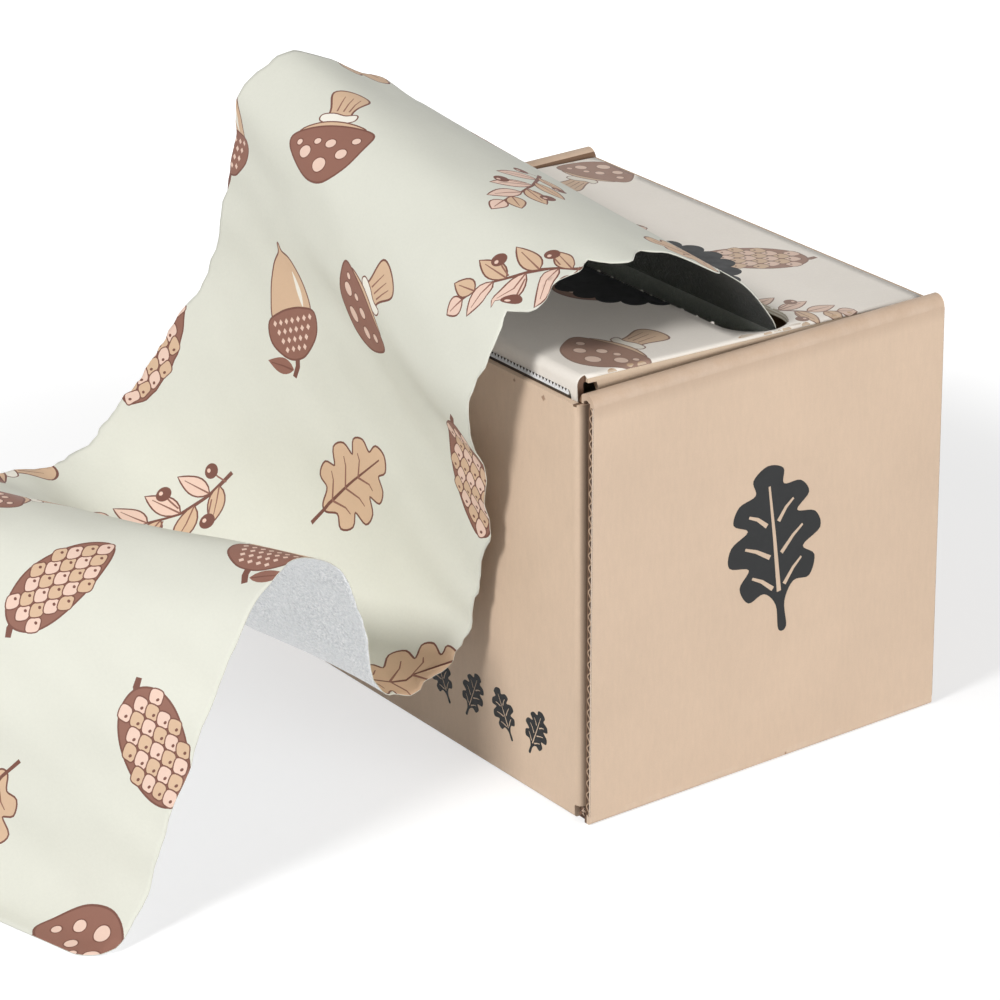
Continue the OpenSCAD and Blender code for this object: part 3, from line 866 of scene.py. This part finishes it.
def lid_profile(s):
    """Side profile of the lid's outer face: over the panel, round the front fold, down the lip."""
    panel = LID_LONG - CREASE
    bend = math.pi / 2
    arc = CREASE * bend
    y = np.where(s < panel, -s, 0.0)
    z = np.where(s < panel, BOARD, 0.0)
    a = np.clip((s - panel) / CREASE, 0, bend)
    y = np.where((s >= panel) & (s < panel + arc), -panel - CREASE * np.sin(a), y)
    z = np.where((s >= panel) & (s < panel + arc), BOARD - CREASE + CREASE * np.cos(a), z)
    down = s - panel - arc
    slant = math.radians(LIP_SLANT)
    y = np.where(down >= 0, -LID_LONG + down * math.sin(slant), y)
    z = np.where(down >= 0, BOARD - CREASE - down * math.cos(slant), z)
    return y, z


def lid_face(flat, lift):
    """Flat print points (x, -s) laid on the lid's outer face and raised by lift."""
    x, s = flat[:, 0], -flat[:, 1]

    def place(x, s):
        y, z = lid_profile(s)
        over = np.maximum(np.abs(x) - (LID_HALF - BOARD), 0)
        limit = np.sqrt(np.maximum(BOARD ** 2 - over ** 2, 0))
        return np.stack([x, y, np.where(over > 0, np.minimum(z, limit), z)], 1)

    p = place(x, s)
    ds = place(x, s + 0.05) - place(x, s - 0.05)
    dx = place(x + 0.03, s) - place(x - 0.03, s)
    normal = np.cross(ds, dx)
    normal /= np.maximum(np.linalg.norm(normal, axis=1), 1e-9)[:, None]
    p = p + normal * lift
    return lid_place(p[:, 0], p[:, 1], p[:, 2])


def slot_outline():
    """The slot with its round ends."""
    half = SLOT_WIDE / 2
    cx = SLOT_HALF - SLOT_WIDE / 2
    out = []
    for side, first in ((1, -90), (-1, 90)):
        for k in range(25):
            a = math.radians(first + 180 * k / 24)
            out.append((side * cx + half * math.cos(a), SLOT_BACK + half * math.sin(a)))
    return out


def scalloped(cx, cy, radius, count, depth):
    """A disk with a scalloped edge."""
    out = []
    for k in range(count * 10):
        a = 2 * math.pi * k / (count * 10)
        r = radius - depth * (1 - abs(math.sin(count * a / 2)) ** 0.7)
        out.append((cx + r * math.cos(a), cy + r * math.sin(a)))
    return out


def make_lid_print(material):
    """The printed skin of the lid: panel, front fold and lip, with the slot left open."""
    end = LID_LONG + math.pi / 2 * CREASE - CREASE + LIP_HIGH - 0.6
    half = LID_HALF - 0.35
    panel = LID_LONG - CREASE
    xs = np.r_[-half, -half + 0.5, -half + 1.0, np.linspace(-half + 1.6, half - 1.6, 34),
               half - 1.0, half - 0.5, half]
    ss = np.r_[np.linspace(0.4, panel, 36), np.linspace(panel, LID_LONG + 1.3, 10)[1:],
               np.linspace(LID_LONG + 3, end, 6)]
    # the front fold and the lip are narrower than the panel
    fold = panel + 0.1
    lip = LID_HALF - LIP_SHORT - 0.1
    below = [s for s in ss if s > fold]
    above = [s for s in ss if ss[0] < s < fold - 0.2]
    outline = ([(-lip, -end)] + [(x, -end) for x in xs if abs(x) < lip - 0.3] + [(lip, -end)]
               + [(lip, -s) for s in below[-2::-1]] + [(lip, -fold), (half, -fold)]
               + [(half, -s) for s in above[::-1]]
               + [(x, -ss[0]) for x in xs[::-1]] + [(-half, -s) for s in above]
               + [(-half, -fold), (-lip, -fold)] + [(-lip, -s) for s in below[:-1]])
    grid = [(x, -s) for x in xs[1:-1] for s in ss[1:-1] if s < fold - 0.2 or abs(x) < lip - 0.3]
    grid = [p for p in grid if not (abs(p[0]) < SLOT_HALF and abs(p[1] - SLOT_BACK) < SLOT_WIDE / 2 + 0.1)]
    motifs = scatter(2 * LID_HALF, end, seed=4, gap_x=36, gap_y=47, start=(14, 14), size=0.9)
    shapes = [(ink, [(px - LID_HALF, -py) for px, py in loop][::-1]) for ink, loop in motifs]
    shapes.append(("charcoal", scalloped(14.4, -46.9, radius=25.2, count=22, depth=2.2)))
    # painted shadow: a dark line on the lip where it is shaded behind the cutter's teeth
    shade_from, shade_to, shade_out = TEETH_SHADE_LINE
    shapes.append(("rub_and_shade", [(-shade_out, -shade_to), (shade_out, -shade_to),
                           (shade_out, -shade_from), (-shade_out, -shade_from)]))
    flat, faces, inks = printed_plan(outline, grid, shapes, "cream_card", [slot_outline()])
    top = lid_face(flat, 0.10)
    under = lid_face(flat, -0.06)
    all_faces = closed(faces, len(flat))
    piece = add_object("lid_print", np.vstack([top, under]), all_faces, [material])
    # card takes the coloured inks duller than foil does
    card, dullness = linear(178, 166, 150), 0.3
    dulled = {name: INKS[name] if name in ("cream_card", "charcoal", "rub_and_shade")
              else tuple(a + (b - a) * dullness for a, b in zip(INKS[name], card)) for name in INKS}
    paint(piece.data, [dulled[i] for i in inks] + [INKS["milk"]] * (len(all_faces) - len(inks)))
    return piece


# ---- the dark one-colour print on the carton's front and end panels

def leaf_stamp(size):
    """A lobed leaf with its veins left open, as an outline and its gaps."""
    loops = [mirrored(LOBES + [(0.9, -16.4)], 5), stroke([(0, 12), (0.1, 2), (0, -9)], 0.5, 1.0)]
    for y0, x1, y1 in ((7.2, 5.4, 9.0), (0.9, 7.0, 3.2), (-5.4, 6.0, -3.0)):
        for side in (-1, 1):
            vein = [(side * 1.3, y0 - 2.6), (side * x1 * 0.6, (y0 + y1) / 2 - 1.4),
                    (side * x1 * 0.94, y1 - 1.2)]
            loops.append(stroke(vein, 0.9, 0.5))
    grow = size / 32.4
    return [[(x * grow, y * grow) for x, y in loop] for loop in loops]


def make_panel_prints(material):
    """Leaves stamped on the two end panels and in a row along the front wall's foot."""
    def on_end(side):
        return lambda u, v, lift: (side * (HALF_WIDE + lift), side * u + 2.0, 57.5 + v)

    def on_front(k):
        return lambda u, v, lift: (u + 51 - 13 * (4 - k), -HALF_DEEP - lift, 16.5 + v)

    stamps = [(44, 0.12, on_end(side)) for side in (1, -1)]
    stamps += [(13.5, 0.5 if k % 2 else -0.4, on_front(k)) for k in range(-4, 5)]
    verts, faces = [], []
    for size, turn, place in stamps:
        c, s = math.cos(turn), math.sin(turn)
        outline, *gaps = [[(x * c - y * s, x * s + y * c) for x, y in loop] for loop in leaf_stamp(size)]
        flat, cut, _ = printed_plan(outline, [], [], "charcoal", gaps)
        first = len(verts)
        verts += [place(u, v, 0.05) for u, v in flat] + [place(u, v, -0.03) for u, v in flat]
        faces += closed(cut, len(flat), first)
    piece = add_object("panel_prints", verts, faces, [material], smooth=False)
    face_outwards(piece)
    paint(piece.data, [INKS["charcoal"]] * len(piece.data.polygons))
    return piece


# ---- small repeated things, grown by node trees

def node_group(name, inputs):
    """A new tree and its inputs, by name."""
    tree = bpy.data.node_groups.new(name, "GeometryNodeTree")
    tree.interface.new_socket("Geometry", in_out="OUTPUT", socket_type="NodeSocketGeometry")
    for label, kind, default in inputs:
        socket = tree.interface.new_socket(label, in_out="INPUT", socket_type="NodeSocket" + kind)
        socket.default_value = default
    return tree, tree.nodes.new("NodeGroupInput").outputs


def end_group(tree, geometry, material):
    """Makes instances real, gives them their material and ends the tree."""
    real = add_node(tree, "GeometryNodeRealizeInstances", {0: geometry})
    dressed = add_node(tree, "GeometryNodeSetMaterial", {"Geometry": real, "Material": material})
    add_node(tree, "NodeGroupOutput", {0: dressed})
    return tree


def grown_mesh(tree, settings, name):
    """Applies a node tree to an empty mesh and keeps the result as a plain mesh."""
    holder = place_object(name + "_holder", bpy.data.meshes.new(name + "_holder"))
    modifier = holder.modifiers.new(name, "NODES")
    modifier.node_group = tree
    for item in tree.interface.items_tree:
        if item.in_out == "INPUT" and item.name in settings:
            modifier[item.identifier] = settings[item.name]
    bpy.context.view_layer.update()
    result = bpy.data.meshes.new_from_object(holder.evaluated_get(bpy.context.evaluated_depsgraph_get()))
    holder.modifiers.clear()
    bpy.data.objects.remove(holder)
    return result


def flute_tree():
    """A zigzag paper ribbon that climbs Z between two liners, as in a cut board edge."""
    tree, given = node_group("cut_flutes", [
        ("Length", "Float", 0.1), ("Pitch", "Float", FLUTE_PITCH), ("Swing", "Float", 0.0005),
        ("Paper", "Float", 0.00022), ("Depth", "Float", 0.0003)])
    node = partial(add_node, tree)

    def calc(operation, a, b=0.0):
        return node("ShaderNodeMath", {0: a, 1: b}, operation=operation)

    top = node("ShaderNodeCombineXYZ", {"Z": given["Length"]})
    line = node("GeometryNodeCurvePrimitiveLine", {"End": top})
    count = calc("MULTIPLY", calc("DIVIDE", given["Length"], given["Pitch"]), 12.0)
    fine = node("GeometryNodeResampleCurve", {"Curve": line, "Count": count})
    high = node("ShaderNodeSeparateXYZ", {0: node("GeometryNodeInputPosition")}, "Z")
    wave = calc("SINE", calc("MULTIPLY", calc("DIVIDE", high, given["Pitch"]), 2 * math.pi))
    shift = node("ShaderNodeCombineXYZ", {"X": calc("MULTIPLY", wave, given["Swing"])})
    zigzag = node("GeometryNodeSetPosition", {"Geometry": fine, "Offset": shift})
    section = node("GeometryNodeCurvePrimitiveQuadrilateral",
                   {"Width": given["Paper"], "Height": given["Depth"]})
    ribbon = node("GeometryNodeCurveToMesh", {"Curve": zigzag, "Profile Curve": section, "Fill Caps": True})
    return end_group(tree, ribbon, RAW_EDGE)


def block(bm, low, high):
    """An upright box in a bmesh."""
    size = [h - w for w, h in zip(low, high)]
    middle = [(h + w) / 2 for w, h in zip(low, high)]
    for v in bmesh.ops.create_cube(bm, size=1.0)["verts"]:
        v.co = Vector([c * s + m for c, s, m in zip(v.co, size, middle)]) * MM


def make_raw_edges():
    """The cut upright edges of the two outer end panels: liners, flutes and a dark sheet between them,
    painted shade for the hollows.
    """
    bottom, top = CREASE + 0.2, FOLD_TOP - 0.2
    x_in, x_out = HALF_WIDE - BOARD, HALF_WIDE
    # from and to across the board, how far it stands proud, and its colour; the first, dark layer is painted
    # shade for the hollows between the flutes
    layers = ((x_in, x_out - 0.02, 0.06, linear(84, 64, 50)),
              (x_in, x_in + 0.2, 0.14, linear(140, 108, 84)),
              (x_out - 0.3, x_out - 0.02, 0.14, linear(229, 210, 192)))
    flute = grown_mesh(flute_tree(), {"Length": (top - bottom) * MM}, "flute")
    corners = [(side, end) for side in (-1, 1) for end in (-1, 1)]
    bm = bmesh.new()
    inks = []
    for side, end in corners:
        y = end * HALF_DEEP
        first = len(bm.verts)
        for near, far, proud, ink in layers:
            xs, ys = sorted((side * near, side * far)), sorted((y - end * 0.05, y + end * proud))
            block(bm, (xs[0], ys[0], bottom), (xs[1], ys[1], top))
            inks += [ink] * 6
        piece = flute.copy()
        at = Vector((side * (HALF_WIDE - BOARD / 2), y + end * 0.07, bottom))
        piece.transform(Matrix.Translation(at * MM))
        bm.from_mesh(piece)
        inks += [linear(190, 162, 136)] * (len(bm.faces) - len(inks))
        bpy.data.meshes.remove(piece)
        if end < 0:
            # the front edges stand back, more so at the top
            bm.verts.ensure_lookup_table()
            for v in bm.verts[first:]:
                v.co.y += (END_BACK + END_LEAN * (v.co.z / MM - CREASE) / (FOLD_TOP - CREASE)) * MM
    # crushed plies fill the notch at each lower corner, mostly in dark browns: partly the raw board, partly
    # painted shade of the notch
    dice = random.Random(21)
    plies_and_shade = (linear(76, 56, 44), linear(120, 90, 72), linear(62, 46, 38), linear(196, 172, 152))
    for side, end in corners:
        for v in bmesh.ops.create_icosphere(bm, subdivisions=2, radius=1.0)["verts"]:
            jolt = dice.uniform(0.6, 1.15)
            v.co = Vector((side * (68.6 + v.co.x * 1.9 * jolt), end * (52.7 + v.co.y * 1.15 * jolt),
                           1.8 + v.co.z * 1.5 * jolt)) * MM
        inks += [dice.choice(plies_and_shade) for _ in range(len(bm.faces) - len(inks))]
    edges = from_bmesh(bm, "raw_edges", RAW_EDGE)
    paint(edges.data, inks)
    return edges


def nick_tree():
    """Torn specks of white paper along a straight edge, unevenly spaced and sized."""
    tree, given = node_group("slot_nicks", [
        ("Length", "Float", 0.1), ("Count", "Int", 24), ("Size", "Float", 0.0006), ("Seed", "Int", 5)])
    node = partial(add_node, tree)

    def random_vector(low, high):
        return node("FunctionNodeRandomValue", {0: low, 1: high, "Seed": given["Seed"]},
                    data_type="FLOAT_VECTOR")

    end = node("ShaderNodeCombineXYZ", {"X": given["Length"]})
    line = node("GeometryNodeMeshLine", {"Count": given["Count"], "Offset": end}, mode="END_POINTS")
    jitter = random_vector((-0.0016, -0.00025, -0.0002), (0.0016, 0.00025, 0.0001))
    points = node("GeometryNodeSetPosition", {"Geometry": line, "Offset": jitter})
    shard = node("GeometryNodeMeshIcoSphere", {"Subdivisions": 1, "Radius": given["Size"]})
    specks = node("GeometryNodeInstanceOnPoints", {
        "Points": points, "Instance": shard, "Scale": random_vector((0.5, 0.4, 0.3), (1.5, 0.9, 0.8))})
    return end_group(tree, specks, TORN)


def make_nicks():
    """Specks where the slot's perforation tore, along both long edges."""
    tree = nick_tree()
    bm = bmesh.new()
    for offset, seed, count in ((-SLOT_WIDE / 2 + 0.1, 5, 20), (SLOT_WIDE / 2 - 0.1, 9, 14)):
        mesh = grown_mesh(tree, {"Length": 0.104, "Count": count, "Seed": seed, "Size": 0.0005}, "nick")
        at = lid_place(np.array([-52.0]), np.array([SLOT_BACK + offset]), np.array([BOARD - 0.05]))[0]
        mesh.transform(Matrix.Translation(Vector(at) * MM) @ Matrix.Rotation(math.radians(-LID_AJAR), 4, "X"))
        bm.from_mesh(mesh)
        bpy.data.meshes.remove(mesh)
    return from_bmesh(bm, "slot_nicks", TORN)


def make_roll(material):
    """The wound turns: a lathe about the roll's axis whose ends step unevenly from turn to turn."""
    dice = random.Random(8)
    turns, steps_round = 50, 144
    profile = []
    for side in (-1, 1):
        for r in np.linspace(ROLL_BORE, ROLL_RADIUS - 0.15, turns)[::-side]:
            off = dice.uniform(-0.16, 0.12) - (0.25 if r > ROLL_RADIUS - 1 else 0)
            x = side * (FOIL_WIDE / 2 - 0.2 + off)
            profile += [(x, r + side * 0.13), (x, r - side * 0.13)]
    verts, faces = [], []
    m = len(profile)
    for k in range(steps_round):
        a = 2 * math.pi * k / steps_round
        verts += [(x, r * math.cos(a), ROLL_HEIGHT + r * math.sin(a)) for x, r in profile]
        here, there = k * m, (k + 1) % steps_round * m
        for j in range(m):
            after = (j + 1) % m
            faces.append((here + j, here + after, there + after, there + j))
    roll = add_object("wound_foil", verts, faces, [material], smooth=False)
    face_outwards(roll)
    return roll


# ---- make everything

PRINTED_FOIL = printed_face("printed_foil", 0.5, 0.6, emboss=0.3, grain=0.012, shine=0.15)
PRINTED_CARD = printed_face("printed_card", 0.48, 0.6, emboss=0.1, grain=0.015, shine=0.3)
BARE_FOIL = bare_foil()
RAW_EDGE = fluted_paper()
TORN = torn_paper()

for name, material in (("tray", printed_board()), ("lid", lid_board()), ("cutter", brushed_steel()),
                       ("core_tube", kraft_core()), ("foil_roll", roll_turns()),
                       ("foil_strip", BARE_FOIL), ("foil_tail", BARE_FOIL)):
    mesh = nodes[name].data
    mesh.materials.clear()
    mesh.materials.append(material)

web = make_web(PRINTED_FOIL, BARE_FOIL)
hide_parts("foil_strip", "foil_tail")
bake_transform(web)

roll = make_roll(nodes["foil_roll"].data.materials[0])
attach(roll, "carton")
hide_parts("foil_roll")

lid_print = make_lid_print(PRINTED_CARD)
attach(lid_print, "lid")

nicks = make_nicks()
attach(nicks, "lid")

stamps = make_panel_prints(PRINTED_CARD)
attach(stamps, "carton")

edges = make_raw_edges()
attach(edges, "carton")


# ---- floor, light and camera

def camera_or_glossy(tree):
    """1 for what the camera or a mirror sees, else 0."""
    ray = add_node(tree, "ShaderNodeLightPath").node.outputs
    return add_node(tree, "ShaderNodeMath", {0: ray["Is Camera Ray"], 1: ray["Is Glossy Ray"]},
                    operation="MAXIMUM")


def pale_floor():
    """Keeps the shadow beside the carton and turns white away from it."""
    g = Graph("pale_floor")
    away = g.node("ShaderNodeVectorMath", {0: g.place, 1: (0, -0.05, 0)}, "Value", operation="DISTANCE")
    fade = g.node("ShaderNodeMapRange", {"Value": away, "From Min": 0.2, "From Max": 0.42},
                  interpolation_type="SMOOTHSTEP")
    glow = g.node("ShaderNodeEmission", {"Strength": g.remap(fade, 0.0, 1.0, 0.6, 1.0)})
    lit = g.node("ShaderNodeBsdfDiffuse", {"Color": (0.5, 0.5, 0.5, 1)})
    shown = g.node("ShaderNodeAddShader", {0: lit, 1: glow})
    plain = g.node("ShaderNodeBsdfDiffuse", {"Color": (0.45, 0.45, 0.45, 1)})
    both = g.node("ShaderNodeMixShader", {0: camera_or_glossy(g.tree), 1: plain, 2: shown})
    g.node("ShaderNodeOutputMaterial", {"Surface": both})
    return g.material


def make_floor():
    half = 6000
    corners = [(-half, -half, 0), (half, -half, 0), (half, half, 0), (-half, half, 0)]
    floor = add_object("floor", corners, [(0, 1, 2, 3)], [pale_floor()], smooth=False)


def make_world():
    world = bpy.data.worlds.new("studio")
    world.use_nodes = True
    bpy.context.scene.world = world
    tree = world.node_tree
    tree.nodes.clear()
    level = add_node(tree, "ShaderNodeMapRange",
                     {"Value": camera_or_glossy(tree), "To Min": 0.35, "To Max": 1.0})
    back = add_node(tree, "ShaderNodeBackground", {"Color": (1, 1, 1, 1), "Strength": level})
    add_node(tree, "ShaderNodeOutputWorld", {0: back})


def area_light(name, place, aim, size, power):
    lamp = bpy.data.lights.new(name, "AREA")
    lamp.shape = "DISK"
    lamp.size = size
    lamp.energy = power
    turn = (Vector(aim) - Vector(place)).to_track_quat("-Z", "Y").to_matrix().to_4x4()
    place_object(name, lamp).matrix_world = Matrix.Translation(place) @ turn


def make_camera():
    """The photograph's view: turned 54 degrees to the right of the front, from 24 degrees above."""
    turn, rise, tilt = math.radians(54.169), math.radians(23.547), math.radians(-0.705)
    focal_pixels, picture_pixels, sensor = 4224.4, 1000, 36.0
    back = Vector((math.sin(turn) * math.cos(rise), -math.cos(turn) * math.cos(rise), math.sin(rise)))
    right = (-back).cross(Vector((0, 0, 1))).normalized()
    up = right.cross(-back)
    right, up = (right * math.cos(tilt) + up * math.sin(tilt), -right * math.sin(tilt) + up * math.cos(tilt))
    middle = Vector((0, 0, 0.054))
    place = middle + back * 1.0648 - right * 0.02178 - up * 0.00794
    data = bpy.data.cameras.new("camera")
    data.sensor_width = sensor
    data.lens = focal_pixels / picture_pixels * sensor
    data.clip_start = 0.05
    camera = place_object("camera", data)
    rows = [(*turned, at) for turned, at in zip(zip(right, up, back), place)]
    camera.matrix_world = Matrix(rows + [(0, 0, 0, 1)])
    bpy.context.scene.camera = camera


make_floor()
make_world()
area_light("key", (0.2, -1.295, 1.036), (0, -0.05, 0.05), size=0.36, power=16.7)
area_light("side", (1.55, 0.32, 0.25), (0, 0, 0.05), size=0.8, power=14.8)
make_camera()
bpy.context.scene.view_settings.view_transform = "Standard"
